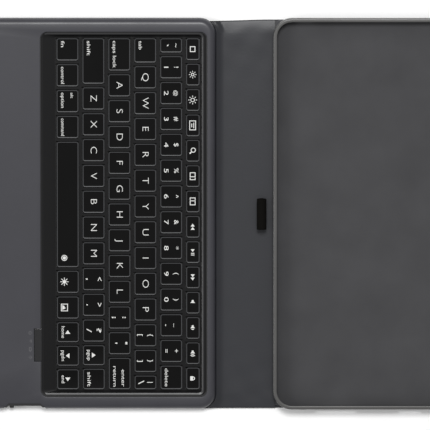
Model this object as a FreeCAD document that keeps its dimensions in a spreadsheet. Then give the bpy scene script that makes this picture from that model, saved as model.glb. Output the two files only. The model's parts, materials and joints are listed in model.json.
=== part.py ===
# Tablet keyboard case: a keyboard panel, a soft rolling spine and a tray for a tablet.
# Millimetres. +X is to the right of the person typing, +Y is away from them, +Z is up.
# The case lies open and flat, with the origin on the table under the middle of its outline.

import FreeCAD, Part
import math
import os
import re
import Sketcher

Vector = FreeCAD.Vector

# The soft spine bends in this many strips, one fold line more than there are strips.
SPINE_STRIPS = 5
SPINE_FOLDS = SPINE_STRIPS + 1
LETTER_ROWS = 5
FUNCTION_KEYS = 14
STANDARD_KEYS = 12
SCREWS_IN_A_ROW = 5
LAMPS = 8
DOME_SIDES = 6
SCREW_SIDES = 8
TINY = 1e-6

SIZES = {
    # The tablet that the tray takes
    "tablet_length": 250.6,
    "tablet_depth": 174.1,
    "tablet_thickness": 6.1,
    "tablet_corner": 10.3,
    # Tray
    "tray_fit": 0.2,
    "tray_wall": 1.5,
    "tray_floor": 1.2,
    "tray_lining": 0.3,
    "lining_inset": 0.3,
    "lip_reach": 0.9,
    "lip_thickness": 0.7,
    "lip_clear": 0.1,
    "rim_bevel": 0.5,
    "window_height": 5.0,
    "window_sill": 0.6,
    "connector_window": 14.0,
    "speaker_window": 26.0,
    "speaker_height": 3.6,
    "speaker_offset": 48.0,
    "jack_window": 9.0,
    "jack_setback": 20.0,
    "button_window": 16.0,
    "button_setback": 26.0,
    "volume_window": 36.0,
    "volume_setback": 52.0,
    "camera_radius": 8.0,
    "camera_setback": 16.0,
    "dock_strip_length": 200.0,
    "dock_strip_depth": 6.0,
    "dock_strip_thickness": 0.6,
    "dock_strip_setback": 2.0,
    # Soft skins and boards of the covers
    "skin": 0.8,
    "flap_board": 1.0,
    "flap_lining": 0.6,
    "flap_clear": 0.2,
    "back_inset": 0.4,
    "board_inset": 0.8,
    # Spine, folds and stand
    "spine_width": 37.3,
    "spine_thickness": 2.0,
    "spine_inset": 1.2,
    "fold_gap": 0.9,
    "fold_clear": 0.05,
    "panel_fold_clear": 0.25,
    "closing_gap": 0.8,
    "stand_setback": 0.8,
    "stand_angle": 95.7,
    "tray_fold_reach": 70.5,
    # Pen loop
    "loop_setback": 6.7,
    "loop_length": 20.0,
    "loop_width": 6.2,
    "loop_height": 9.0,
    "loop_band": 0.8,
    "loop_foot": 1.0,
    # Keyboard panel
    "panel_height": 8.0,
    "panel_corner": 10.0,
    "panel_edge_round": 4.0,
    "front_overhang": 0.5,
    "front_board": 0.8,
    "well_rear_margin": 5.0,
    "well_side_margin": 8.4,
    "well_corner": 4.6,
    "deck_ledge": 1.3,
    "deck_fit": 0.2,
    "deck_drop": 0.6,
    "deck_plate": 1.0,
    "deck_rim": 0.8,
    "deck_wall_gap": 1.3,
    "floor_margin": 0.9,
    "front_slope": 10.8,
    "side_slope": 4.6,
    "rear_slope": 5.4,
    # Keys
    "key_gap": 2.46,
    "key_depth": 14.3,
    "function_depth": 8.9,
    "key_height": 2.2,
    "key_stand": 1.6,
    "key_corner": 1.0,
    "key_draft": 4.0,
    "key_clear": 0.35,
    "backquote_width": 9.1,
    "delete_width": 15.3,
    "tab_width": 15.6,
    "caps_width": 20.8,
    "shift_width": 29.3,
    "arrow_width": 12.9,
    # Layers under the keys
    "base_plate": 0.5,
    "light_guide": 0.4,
    "membrane": 0.3,
    "dome_sheet": 0.3,
    "dome_height": 1.8,
    "dome_radius": 2.4,
    "dome_clear": 0.2,
    "layer_inset": 0.3,
    "lamp_length": 4.0,
    "lamp_depth": 1.6,
    "screw_head": 1.3,
    "screw_shank": 0.7,
    "screw_reach": 3.0,
    "screw_front_inset": 3.6,
    "screw_rear_inset": 1.45,
    "screw_end": 27.3,
    "tail_width": 14.0,
    "tail_reach": 10.0,
    "tail_room": 0.4,
    # Palm rest, from the front edge to the well
    "bay_front_wall": 10.0,
    "bay_rear_wall": 1.5,
    "bay_roof": 1.6,
    "bay_rib": 2.0,
    "bay_side_wall": 6.0,
    "battery_length": 110.0,
    "battery_depth": 42.0,
    "battery_height": 3.6,
    "battery_room": 3.0,
    "lead_length": 27.5,
    "battery_corner": 2.0,
    "lead_width": 4.0,
    "lead_thickness": 0.6,
    "board_length": 36.0,
    "board_margin": 2.3,
    "board_thickness": 0.8,
    "board_gap": 0.4,
    "module_length": 12.0,
    "module_depth": 10.0,
    "module_height": 1.8,
    "magnet_length": 20.0,
    "magnet_depth": 3.0,
    "magnet_height": 3.0,
    "magnet_fit": 0.1,
    "magnet_wall": 1.6,
    "magnet_setback": 29.0,
    "magnet_spacing": 40.0,
    # Recess in the right edge, with the charging socket and the power switch
    "notch_ahead": 10.2,
    "notch_length": 21.0,
    "notch_depth": 2.0,
    "port_plate": 1.0,
    "port_fit": 0.1,
    "socket_ahead": 5.0,
    "socket_width": 7.6,
    "socket_height": 2.6,
    "socket_depth": 6.4,
    "socket_wall": 0.35,
    "tongue_width": 4.0,
    "tongue_thickness": 0.6,
    "switch_behind": 8.3,
    "switch_width": 8.0,
    "switch_depth": 4.0,
    "switch_height": 2.6,
    "knob_width": 2.6,
    "knob_height": 1.6,
    "knob_proud": 1.6,
    "knob_travel": 2.5,
    "knob_corner": 0.6,
    # Status window on the front edge of the well
    "status_setback": 33.4,
    "status_length": 21.5,
    "status_depth": 3.9,
    "status_height": 1.8,
    "status_fit": 0.15,
}

# Sizes and places worked out from the ones above
LAYOUT = {
    "tray_width": "tablet_length + 2 * (tray_fit + tray_wall)",
    "tray_depth": "tablet_depth + 2 * (tray_fit + tray_wall)",
    "tray_half": "tray_width / 2",
    "tray_corner": "tablet_corner + tray_fit + tray_wall",
    "floor_bottom": "skin + flap_board + flap_lining + flap_clear",
    "floor_top": "floor_bottom + tray_floor",
    "lip_bottom": "floor_top + tray_lining + tablet_thickness + lip_clear",
    "tray_top": "lip_bottom + lip_thickness",
    "closed_height": "panel_height + tray_top + closing_gap",
    "strip_pitch": f"closed_height * tan(90 / {SPINE_FOLDS})",
    "strip_bevel": f"spine_thickness * tan(90 / {SPINE_FOLDS})",
    "roll_length": f"{SPINE_STRIPS} * strip_pitch",
    "panel_depth": "spine_width + tray_depth - 2 * fold_gap - roll_length + front_overhang",
    "panel_half": "tray_half",
    "panel_rear": "(panel_depth - spine_width - tray_depth) / 2",
    "panel_front": "panel_rear - panel_depth",
    "first_fold": "panel_rear + fold_gap",
    "last_fold": "first_fold + roll_length",
    "tray_front": "panel_rear + spine_width",
    "tray_rear": "tray_front + tray_depth",
    "tray_middle": "tray_front + tray_depth / 2",
    "stand_fold": "tray_front - stand_setback",
    "stand_bevel": "1 / tan((180 - stand_angle) / 2)",
    "tray_fold": "tray_front + tray_fold_reach",
    "spine_length": "tray_width - 2 * spine_inset",
    "loop_middle": "stand_fold - loop_setback",
    "board_top": "skin + front_board",
    "plate_top": "board_top + base_plate",
    "guide_top": "plate_top + light_guide",
    "membrane_top": "guide_top + membrane",
    "sheet_top": "membrane_top + dome_sheet",
    "dome_top": "sheet_top + dome_height",
    "key_bottom": "dome_top + dome_clear",
    "deck_floor": "key_bottom + key_height - key_stand",
    "deck_top": "panel_height - deck_drop",
    "frame_top": "panel_height - skin",
    "frame_bevel": "(panel_edge_round - skin) * (2 - sqrt(2))",
    "keys_depth": f"{LETTER_ROWS} * (key_depth + key_gap) + function_depth",
    "well_depth": "front_slope + keys_depth + rear_slope",
    "well_half": "panel_half - well_side_margin",
    "well_rear": "panel_rear - well_rear_margin",
    "well_front": "well_rear - well_depth",
    "deck_front": "well_front + deck_ledge",
    "deck_depth": "well_depth - 2 * deck_ledge",
    "deck_half": "well_half - deck_ledge",
    "deck_corner": "well_corner - deck_ledge",
    "key_front": "well_front + front_slope",
    "key_left": "side_slope - well_half",
    "key_field": "2 * (well_half - side_slope)",
    "key_width": f"(key_field - backquote_width - delete_width - {STANDARD_KEYS + 1} * key_gap)"
                 f" / {STANDARD_KEYS}",
    "function_width": f"(key_field - {FUNCTION_KEYS - 1} * key_gap) / {FUNCTION_KEYS}",
    "pocket_front": "key_front - deck_wall_gap",
    "pocket_depth": "keys_depth + 2 * deck_wall_gap",
    "pocket_half": "key_field / 2 + deck_wall_gap",
    "layer_front": "pocket_front + layer_inset",
    "layer_depth": "pocket_depth - 2 * layer_inset",
    "layer_half": "pocket_half - layer_inset",
    "guide_depth": "layer_depth - lamp_depth - layer_inset",
    "notch_middle": "well_front - notch_ahead",
    "notch_face": "panel_half - notch_depth",
    "bay_right": "notch_face - port_plate",
    "bay_rear": "deck_front - deck_fit - bay_rear_wall",
    "bay_front": "panel_front + bay_front_wall",
    "bay_top": "frame_top - bay_roof",
    "board_right": "bay_right - board_gap",
    "board_left": "board_right - board_length",
    "board_rear": "bay_rear - board_gap",
    "circuit_top": "board_top + board_thickness",
    "battery_right": "board_left - lead_length",
    "battery_left": "battery_right - battery_length",
    "battery_front": "bay_front + battery_room",
    "bay_left": "battery_left - battery_room",
    "socket_middle": "notch_middle + socket_ahead",
    "switch_middle": "notch_middle - switch_behind",
    "board_front": "switch_middle - switch_width / 2 - board_margin",
    "knob_bottom": "circuit_top + (switch_height - knob_height) / 2",
    "tail_middle": "board_left + board_length / 2",
    "status_front": "well_front - status_depth",
    "status_middle": "well_half - status_setback",
    "magnet_outer": "panel_half - magnet_setback",
    "magnet_inner": "magnet_outer - magnet_spacing",
    "screw_pitch": f"2 * (deck_half - screw_end) / {SCREWS_IN_A_ROW - 1}",
}

document = FreeCAD.newDocument("tablet_keyboard_case")
sheet_of = {}
nodes = {}


def fill_sheet(name, cells):
    """Write named cells into a new spreadsheet, one row for each."""
    sheet = document.addObject("Spreadsheet::Sheet", name)
    for row, (alias, content) in enumerate(cells.items(), start=1):
        sheet.set(f"A{row}", alias)
        sheet.set(f"B{row}", content)
        sheet.setAlias(f"B{row}", alias)
    return sheet


def bound(formula):
    """Put the sheet's name in front of each size that a formula names."""
    return re.sub(r"[a-z_]+", lambda word: sheet_of.get(word.group(), "") + word.group(), formula)


sheet_of.update({alias: "Sizes." for alias in SIZES})
sizes = fill_sheet("Sizes", {alias: str(number) for alias, number in SIZES.items()})
layout = fill_sheet("Layout", {alias: "=" + bound(formula) for alias, formula in LAYOUT.items()})
sheet_of.update({alias: "Layout." for alias in LAYOUT})
document.recompute()


def value(formula):
    """What a formula comes to with the present sizes."""
    return float(layout.evalExpression(bound(formula)))


def bind(item, **formulas):
    """Tie an object's properties to formulas."""
    for name, formula in formulas.items():
        item.setExpression(name, bound(formula))


def put(item, x="0", y="0", z="0"):
    """Tie an object's place to formulas."""
    for axis, formula in zip("xyz", (x, y, z)):
        item.setExpression(f"Placement.Base.{axis}", bound(formula))


def new_body(label):
    body = document.addObject("PartDesign::Body", label)
    body.Label = label
    return body


def new_sketch(body, plane, x="0", y="0", z="0"):
    """An empty sketch on one of the body's own planes, moved by formulas along its own axes."""
    sketch = body.newObject("Sketcher::SketchObject", body.Name + "_outline")
    support = [item for item in body.Origin.OriginFeatures if item.Role == plane][0]
    sketch.AttachmentSupport = [(support, "")]
    sketch.MapMode = "FlatFace"
    for axis, formula in zip("xyz", (x, y, z)):
        sketch.setExpression(f"AttachmentOffset.Base.{axis}", bound(formula))
    return sketch


def measure(sketch, kind, *arguments, formula):
    """Add a dimension to a sketch and tie it to a formula."""
    index = sketch.addConstraint(Sketcher.Constraint(kind, *arguments, value(formula)))
    sketch.setExpression(f"Constraints[{index}]", bound(formula))


def rectangle(body, x, y, z, width, depth, front=None, rear=None):
    """A flat rectangle, x at its middle and y at its front edge, with rounded corners if asked for."""
    sketch = new_sketch(body, "XY_Plane", x, y, z)
    half = value(width) / 2
    far = value(depth)
    corners = [Vector(-half, 0, 0), Vector(half, 0, 0), Vector(half, far, 0), Vector(-half, far, 0)]
    rounds = [front, front, rear, rear]
    radii = [value(formula) if formula else 0.0 for formula in rounds]
    rules = []
    for side in range(4):
        start, end = corners[side], corners[(side + 1) % 4]
        along = (end - start).normalize()
        first = start + along * radii[side]
        last = end - along * radii[(side + 1) % 4]
        sketch.addGeometry(Part.LineSegment(first, last))
    arcs = {}
    for corner in range(4):
        before = (corner - 1) % 4
        if not rounds[corner]:
            rules.append(Sketcher.Constraint("Coincident", before, 2, corner, 1))
            continue
        inward = Vector(math.copysign(1, -corners[corner].x), 1 if corner < 2 else -1, 0)
        circle = Part.Circle(corners[corner] + inward * radii[corner], Vector(0, 0, 1), radii[corner])
        turn = (corner - 2) * math.pi / 2
        arc = sketch.addGeometry(Part.ArcOfCircle(circle, turn, turn + math.pi / 2))
        rules.append(Sketcher.Constraint("Tangent", before, 2, arc, 1))
        rules.append(Sketcher.Constraint("Tangent", arc, 2, corner, 1))
        arcs[corner] = arc
    rules += [Sketcher.Constraint("Vertical", 1), Sketcher.Constraint("Horizontal", 2)]
    rules += [Sketcher.Constraint("Vertical", 3), Sketcher.Constraint("PointOnObject", 0, 1, -1)]
    rules.append(Sketcher.Constraint("Symmetric", 0, 1, 0, 2, -2))
    for left, right in ((0, 1), (3, 2)):
        if left in arcs:
            rules.append(Sketcher.Constraint("Equal", arcs[left], arcs[right]))
    sketch.addConstraint(rules)
    for corner, formula in ((0, front), (3, rear)):
        if formula:
            measure(sketch, "Radius", arcs[corner], formula=formula)
    measure(sketch, "DistanceX", 3, 1, 1, 1, formula=width)
    measure(sketch, "DistanceY", 0, 1, 2, 1, formula=depth)
    return sketch


def pad(body, sketch, length, both_ways=False, draft=None):
    feature = body.newObject("PartDesign::Pad", body.Name + "_pad")
    feature.Profile = sketch
    feature.Midplane = both_ways
    bind(feature, Length=length)
    if draft:
        bind(feature, TaperAngle="-" + draft)
    return feature


def pocket(body, sketch, depth, upward=False):
    """Cut from a sketch down into the body, or upward into it from below."""
    feature = body.newObject("PartDesign::Pocket", body.Name + "_pocket")
    feature.Profile = sketch
    feature.Reversed = upward
    bind(feature, Length=depth)
    return feature


def plate(label, x="0", y="0", z="0", width="1", depth="1", height="1", front=None, rear=None, draft=None):
    """A flat piece: x is its middle, y its front edge and z its underside."""
    body = new_body(label)
    pad(body, rectangle(body, x, y, z, width, depth, front, rear), height, draft=draft)
    return body


def dress(body, kind, wanted, **size):
    """Round or bevel those edges of a body that a test picks, given the heights of an edge's two ends."""
    document.recompute()
    base = body.Tip
    chosen = []
    for number, edge in enumerate(base.Shape.Edges, start=1):
        if wanted(edge.Vertexes[0].Z, edge.Vertexes[-1].Z):
            chosen.append(f"Edge{number}")
    feature = body.newObject("PartDesign::" + kind, body.Name + "_" + kind.lower())
    feature.Base = (base, chosen)
    bind(feature, **size)


def round_top(body, top, radius):
    """Round the outer edges of a body's top face."""
    height = value(top)
    dress(body, "Fillet", lambda start, end: min(start, end) > height - TINY, Radius=radius)


def bevel_top(body, top, size):
    """Bevel the outer edges of a body's top face."""
    height = value(top)
    dress(body, "Chamfer", lambda start, end: min(start, end) > height - TINY, Size=size)


def bevel_corners(body, size):
    """Bevel the upright corners of a body."""
    dress(body, "Chamfer", lambda start, end: abs(start - end) > TINY, Size=size)


def strip(label, y, width, height, front_bevel, rear_bevel, length):
    """A long strip across the case, with bevelled edges that leave room to fold."""
    body = new_body(label)
    sketch = new_sketch(body, "YZ_Plane", x=y)
    far, tall = value(width), value(height)
    near_top, far_top = value(front_bevel), far - value(rear_bevel)
    points = [Vector(0, 0, 0), Vector(far, 0, 0), Vector(far_top, tall, 0), Vector(near_top, tall, 0)]
    rules = []
    for side in range(4):
        sketch.addGeometry(Part.LineSegment(points[side], points[(side + 1) % 4]))
        rules.append(Sketcher.Constraint("Coincident", side, 2, (side + 1) % 4, 1))
    rules.append(Sketcher.Constraint("Coincident", 0, 1, -1, 1))
    rules += [Sketcher.Constraint("Horizontal", 0), Sketcher.Constraint("Horizontal", 2)]
    sketch.addConstraint(rules)
    measure(sketch, "DistanceX", 0, 1, 0, 2, formula=width)
    measure(sketch, "DistanceY", 0, 1, 3, 1, formula=height)
    measure(sketch, "DistanceX", 0, 1, 3, 1, formula=front_bevel)
    measure(sketch, "DistanceX", 2, 1, 0, 2, formula=rear_bevel)
    pad(body, sketch, length, both_ways=True)
    return body


def box(label, x, y, z, width, depth, height):
    """A plain block: x and y are its middle and z its underside."""
    block = document.addObject("Part::Box", label)
    bind(block, Length=width, Width=depth, Height=height)
    put(block, f"{x} - ({width}) / 2", f"{y} - ({depth}) / 2", z)
    return block


def prism(label, sides, x, y, z, radius, height):
    """A small many-sided stud: x and y are its middle and z its underside."""
    stud = document.addObject("Part::Prism", label)
    stud.Polygon = sides
    bind(stud, Circumradius=radius, Height=height)
    put(stud, x, y, z)
    return stud


def together(label, pieces):
    """Several separate solids kept as one group."""
    group = document.addObject("Part::Compound", label)
    group.Links = pieces
    return group


def fused(label, pieces):
    union = document.addObject("Part::MultiFuse", label)
    union.Shapes = pieces
    return union


def cut(label, base, tools):
    """One piece less the tools, which may overlap each other."""
    result = document.addObject("Part::Cut", label)
    result.Base = base
    result.Tool = tools[0] if len(tools) == 1 else fused(label + "_tools", tools)
    return result


def keep(name, item):
    """Name a finished sub-part."""
    item.Label = name
    nodes[name] = item
    return item


# Shells of the keyboard panel


def panel_slab(label, inset, bottom, top):
    """The panel's slab with rounded corners, drawn in all round by an inset."""
    return plate(label, y=f"panel_front + {inset}", z=bottom, width=f"2 * (panel_half - {inset})",
                 depth=f"panel_depth - 2 * {inset}", height=f"{top} - {bottom}",
                 front=f"panel_corner - {inset}", rear=f"panel_corner - {inset}")


notch_room = document.addObject("Part::Wedge", "notch_room")
notch_room.Placement.Rotation = FreeCAD.Rotation(Vector(0, 0, 1), -90)
bind(notch_room, Xmin="-notch_length / 2", Xmax="notch_length / 2", Ymin="0", Ymax="2 * notch_depth",
     X2min="-notch_length / 2 - 2 * notch_depth", X2max="notch_length / 2 + 2 * notch_depth",
     Zmin="-skin", Z2min="-skin", Zmax="panel_height", Z2max="panel_height")
put(notch_room, "notch_face", "notch_middle", "0")

skin_sheet = plate("front_skin_sheet", y="panel_front", width="2 * panel_half", depth="panel_depth",
                   height="skin", front="panel_corner", rear="panel_corner")
fold_edge = rectangle(skin_sheet, "0", "panel_rear - panel_corner", "0", "spine_length",
                      "panel_corner + fold_gap - panel_fold_clear")
pad(skin_sheet, fold_edge, "skin")
keep("front_cover_skin", cut("front_skin", skin_sheet, [notch_room]))

board_sheet = plate("front_board_sheet", y="panel_front + skin", z="skin", width="2 * (panel_half - skin)",
                    depth="panel_depth - 2 * skin", height="front_board",
                    front="panel_corner - skin", rear="panel_corner - skin")
keep("front_cover_board", cut("front_stiffener", board_sheet, [notch_room]))

cover_slab = panel_slab("cover_slab", "0", "skin", "panel_height")
round_top(cover_slab, "panel_height", "panel_edge_round")
core_slab = panel_slab("core_slab", "skin", "skin", "frame_top")
bevel_top(core_slab, "frame_top", "frame_bevel")
well_room = plate("well_room", y="well_front", z="skin", width="2 * well_half", depth="well_depth",
                  height="panel_height", front="well_corner", rear="well_corner")
status_room = box("status_room", "status_middle", "well_front", "deck_top - status_height",
                  "status_length", "2 * status_depth", "panel_height")
keep("palm_rest_cover", cut("palm_rest", cover_slab, [core_slab, well_room, status_room, notch_room]))

frame_slab = panel_slab("frame_slab", "skin", "board_top", "frame_top")
bevel_top(frame_slab, "frame_top", "frame_bevel")
deck_room = plate("deck_room", y="deck_front - deck_fit", z="skin", width="2 * (deck_half + deck_fit)",
                  depth="deck_depth + 2 * deck_fit", height="panel_height",
                  front="deck_corner + deck_fit", rear="deck_corner + deck_fit")
main_bay = box("main_bay", "(bay_left + bay_right) / 2", "(bay_front + bay_rear) / 2", "skin",
               "bay_right - bay_left", "bay_rear - bay_front", "bay_top - skin")
side_bay = box("side_bay", "(bay_left - bay_rib + bay_side_wall - panel_half) / 2",
               "(bay_front + bay_rear) / 2", "skin", "bay_left - bay_rib - bay_side_wall + panel_half",
               "bay_rear - bay_front", "bay_top - skin")
plate_room = box("plate_room", "bay_right + notch_depth / 2", "notch_middle", "skin", "notch_depth",
                 "notch_length", "bay_top - skin")
tail_slot = box("tail_slot", "tail_middle", "bay_rear", "skin", "tail_width + 2 * tail_room",
                "4 * bay_rear_wall", "membrane_top + tail_room - skin")


def magnet_places():
    """Middles of the magnets: a row behind the front edge and a row in the strip behind the keys."""
    front = "panel_front + skin + magnet_wall + magnet_depth / 2"
    rear = "(panel_rear - skin + well_rear - deck_ledge + deck_fit) / 2"
    for row, y in (("closing", front), ("dock", rear)):
        for x in ("-magnet_outer", "-magnet_inner", "magnet_inner", "magnet_outer"):
            yield row, x, y


magnets = {"closing": [], "dock": []}
magnet_rooms = []
for row, x, y in magnet_places():
    number = len(magnets[row])
    magnets[row].append(box(f"{row}_magnet_{number}", x, y, "board_top", "magnet_length",
                            "magnet_depth", "magnet_height"))
    magnet_rooms.append(box(f"{row}_magnet_room_{number}", x, y, "skin", "magnet_length + 2 * magnet_fit",
                            "magnet_depth + 2 * magnet_fit", "magnet_height + front_board + magnet_fit"))
keep("closing_magnets", together("closing_magnet_set", magnets["closing"]))
keep("dock_magnets", together("dock_magnet_set", magnets["dock"]))
frame_rooms = [deck_room, main_bay, side_bay, plate_room, tail_slot, status_room, notch_room]
keep("panel_frame", cut("moulded_frame", frame_slab, frame_rooms + magnet_rooms))

status_pane = plate("status_pane", x="status_middle", y="status_front + status_fit",
                    z="deck_top - status_height", width="status_length - 2 * status_fit",
                    depth="status_depth + deck_ledge - deck_fit - status_fit", height="status_height")
keep("status_window", status_pane)


# Keys, their domes and the deck that they come up through

REST = "the rest of the row"
KEY_ROWS = [
    [("bottom_row_keys", "key_width")] * 4 + [("space_bar", REST)]
    + [("bottom_row_keys", "key_width")] * 2 + [("bottom_row_keys", "arrow_width")] * 3,
    [("left_shift_key", "shift_width")] + [("lower_letter_keys", "key_width")] * 10
    + [("lower_letter_keys", "arrow_width"), ("right_shift_key", REST)],
    [("caps_lock_key", "caps_width")] + [("home_letter_keys", "key_width")] * 11 + [("enter_key", REST)],
    [("tab_key", "tab_width")] + [("upper_letter_keys", "key_width")] * 12 + [("upper_letter_keys", REST)],
    [("number_keys", "backquote_width")] + [("number_keys", "key_width")] * 12
    + [("delete_key", "delete_width")],
    [("function_keys", "function_width")] * FUNCTION_KEYS,
]


def row_places(widths):
    """The middle and the width of each key of a row, as formulas, from left to right."""
    known = [width for width in widths if width != REST]
    spent = " - ".join(f"{known.count(width)} * {width}" for width in sorted(set(known)))
    rest = f"(key_field - {spent} - {len(widths) - 1} * key_gap)"
    left = "key_left"
    for width in widths:
        span = rest if width == REST else width
        yield f"{left} + {span} / 2", span
        left = f"{left} + {span} + key_gap"


key_caps = {}
key_rooms = []
domes = [plate("dome_base", y="layer_front", z="membrane_top", width="2 * layer_half", depth="layer_depth",
               height="dome_sheet")]
for row, keys in enumerate(KEY_ROWS):
    depth = "function_depth" if row == LETTER_ROWS else "key_depth"
    y = f"key_front + {row} * (key_depth + key_gap)"
    for column, (x, width) in enumerate(row_places([width for _, width in keys])):
        name = f"{row}_{column}"
        cap = plate("key_" + name, x=x, y=y, z="key_bottom", width=width, depth=depth,
                    height="key_height", draft="key_draft")
        bevel_corners(cap, "key_corner")
        key_caps.setdefault(keys[column][0], []).append(cap)
        middle = f"{y} + {depth} / 2"
        key_rooms.append(box("key_room_" + name, x, middle, "deck_floor - 2 * deck_plate",
                             f"{width} + 2 * key_clear", f"{depth} + 2 * key_clear", "3 * deck_plate"))
        domes.append(prism("dome_" + name, DOME_SIDES, x, middle, "membrane_top", "dome_radius",
                           "dome_sheet + dome_height"))
for name, caps in key_caps.items():
    keep(name, caps[0] if len(caps) == 1 else together(name + "_set", caps))
keep("dome_sheet", fused("dome_sheet_solid", domes))

deck_block = plate("deck_block", y="deck_front", z="plate_top", width="2 * deck_half", depth="deck_depth",
                   height="deck_top - plate_top", front="deck_corner", rear="deck_corner")
floor_edge = rectangle(deck_block, "0", "key_front - floor_margin", "deck_floor",
                       "key_field + 2 * floor_margin", "keys_depth + 2 * floor_margin",
                       "key_corner", "key_corner")
rim_edge = rectangle(deck_block, "0", "deck_front + deck_rim", "deck_top", "2 * (deck_half - deck_rim)",
                     "deck_depth - 2 * deck_rim", "deck_corner - deck_rim", "deck_corner - deck_rim")
slopes = deck_block.newObject("PartDesign::SubtractiveLoft", "deck_slopes")
slopes.Profile = floor_edge
slopes.Sections = [rim_edge]
slopes.Ruled = True
underside = rectangle(deck_block, "0", "pocket_front", "plate_top", "2 * pocket_half", "pocket_depth")
pocket(deck_block, underside, "deck_floor - deck_plate - plate_top", upward=True)
tail_way = rectangle(deck_block, "tail_middle", "deck_front - deck_fit", "plate_top",
                     "tail_width + 2 * tail_room", "pocket_front - deck_front + 2 * deck_fit")
pocket(deck_block, tail_way, "membrane_top + tail_room - plate_top", upward=True)


def screw(label, x, y):
    """A screw from below, with a low head that is flush with the base plate."""
    head = prism(label + "_head", SCREW_SIDES, x, y, "board_top", "screw_head", "base_plate")
    shank = prism(label + "_shank", SCREW_SIDES, x, y, "plate_top", "screw_shank", "screw_reach")
    return fused(label, [head, shank])


screws = []
for place in range(SCREWS_IN_A_ROW):
    x = f"{place - (SCREWS_IN_A_ROW - 1) / 2} * screw_pitch"
    screws.append(screw(f"front_screw_{place}", x, "deck_front + screw_front_inset"))
    screws.append(screw(f"rear_screw_{place}", x, "deck_front + deck_depth - screw_rear_inset"))
screw_set = keep("base_plate_screws", together("base_plate_screw_set", screws))

deck_holes = together("deck_holes", key_rooms)
holed_deck = cut("holed_deck", deck_block, [deck_holes])
keep("keyboard_deck", cut("screwed_deck", holed_deck, [screw_set]))

steel_plate = plate("steel_plate", y="deck_front", z="board_top", width="2 * deck_half",
                    depth="deck_depth", height="base_plate", front="deck_corner", rear="deck_corner")
keep("base_plate", cut("countersunk_plate", steel_plate, [screw_set]))


# Layers between the base plate and the domes

keep("light_guide", plate("light_guide_sheet", y="layer_front", z="plate_top", width="2 * layer_half",
                          depth="guide_depth", height="light_guide"))
lamp_pitch = f"2 * layer_half / {LAMPS}"
lamps = [box(f"lamp_{place}", f"{place - (LAMPS - 1) / 2} * {lamp_pitch}",
             "layer_front + layer_depth - lamp_depth / 2", "plate_top", "lamp_length", "lamp_depth",
             "light_guide") for place in range(LAMPS)]
keep("backlight_lamps", together("backlight_lamp_set", lamps))
keep("switch_membrane", plate("switch_membrane_sheet", y="layer_front", z="guide_top",
                              width="2 * layer_half", depth="layer_depth", height="membrane"))
keep("membrane_tail", plate("membrane_tail_strip", x="tail_middle", y="bay_rear - tail_reach", z="guide_top",
                            width="tail_width", depth="layer_front - bay_rear + tail_reach",
                            height="membrane"))


# Battery, control board, charging socket and power switch in the palm rest

keep("battery", plate("battery_pouch", x="(battery_left + battery_right) / 2", y="battery_front",
                      z="board_top", width="battery_length", depth="battery_depth",
                      height="battery_height", front="battery_corner", rear="battery_corner"))
keep("battery_lead", plate("battery_lead_strip", x="board_left - lead_length / 2",
                           y="board_front + lead_width", z="board_top", width="lead_length",
                           depth="lead_width", height="lead_thickness"))
keep("control_board", plate("circuit_board", x="(board_left + board_right) / 2", y="board_front",
                            z="board_top", width="board_length", depth="board_rear - board_front",
                            height="board_thickness"))
keep("wireless_module", plate("module_can", x="board_left + board_margin + module_length / 2",
                              y="board_front + board_margin", z="circuit_top", width="module_length",
                              depth="module_depth", height="module_height"))

socket_shell = box("socket_shell", "notch_face - socket_depth / 2", "socket_middle", "circuit_top",
                   "socket_depth", "socket_width", "socket_height")
socket_mouth = box("socket_mouth", "notch_face - socket_depth / 2 + socket_wall", "socket_middle",
                   "circuit_top + socket_wall", "socket_depth", "socket_width - 2 * socket_wall",
                   "socket_height - 2 * socket_wall")
tongue = box("socket_tongue", "notch_face - (socket_depth + socket_wall) / 2", "socket_middle",
             "circuit_top + (socket_height - tongue_thickness) / 2", "socket_depth - socket_wall",
             "tongue_width", "tongue_thickness")
keep("charging_socket", fused("socket_solid", [cut("socket_tube", socket_shell, [socket_mouth]), tongue]))

port_blank = box("port_blank", "notch_face - port_plate / 2", "notch_middle", "board_top", "port_plate",
                 "notch_length", "bay_top - board_top")
socket_window = box("socket_window", "notch_face - port_plate / 2", "socket_middle",
                    "circuit_top - port_fit", "2 * port_plate", "socket_width + 2 * port_fit",
                    "socket_height + 2 * port_fit")
knob_slot = box("knob_slot", "notch_face - port_plate / 2", "switch_middle + knob_travel / 2",
                "knob_bottom - port_fit", "2 * port_plate", "knob_width + knob_travel + 2 * port_fit",
                "knob_height + 2 * port_fit")
keep("port_plate", cut("port_cover", port_blank, [socket_window, knob_slot]))
keep("power_switch_body", box("switch_case", "bay_right - port_fit - switch_depth / 2",
                              "switch_middle + knob_travel / 2", "circuit_top", "switch_depth",
                              "switch_width", "switch_height"))
keep("power_switch_knob", plate("switch_knob", x="bay_right + (port_plate + knob_proud) / 2",
                                y="switch_middle - knob_width / 2", z="knob_bottom",
                                width="port_plate + knob_proud", depth="knob_width", height="knob_height",
                                front="knob_corner", rear="knob_corner"))


# Soft spine and pen loop

for number in range(SPINE_STRIPS):
    keep(f"spine_strip_{number + 1}",
         strip(f"spine_{number + 1}", f"first_fold + {number} * strip_pitch + fold_clear",
               "strip_pitch - 2 * fold_clear", "spine_thickness", "strip_bevel", "strip_bevel",
               "spine_length"))
keep("spine_edge_strip", strip("spine_edge", "last_fold + fold_clear",
                               "stand_fold - last_fold - 2 * fold_clear", "spine_thickness", "strip_bevel",
                               "spine_thickness * stand_bevel", "spine_length"))


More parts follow.
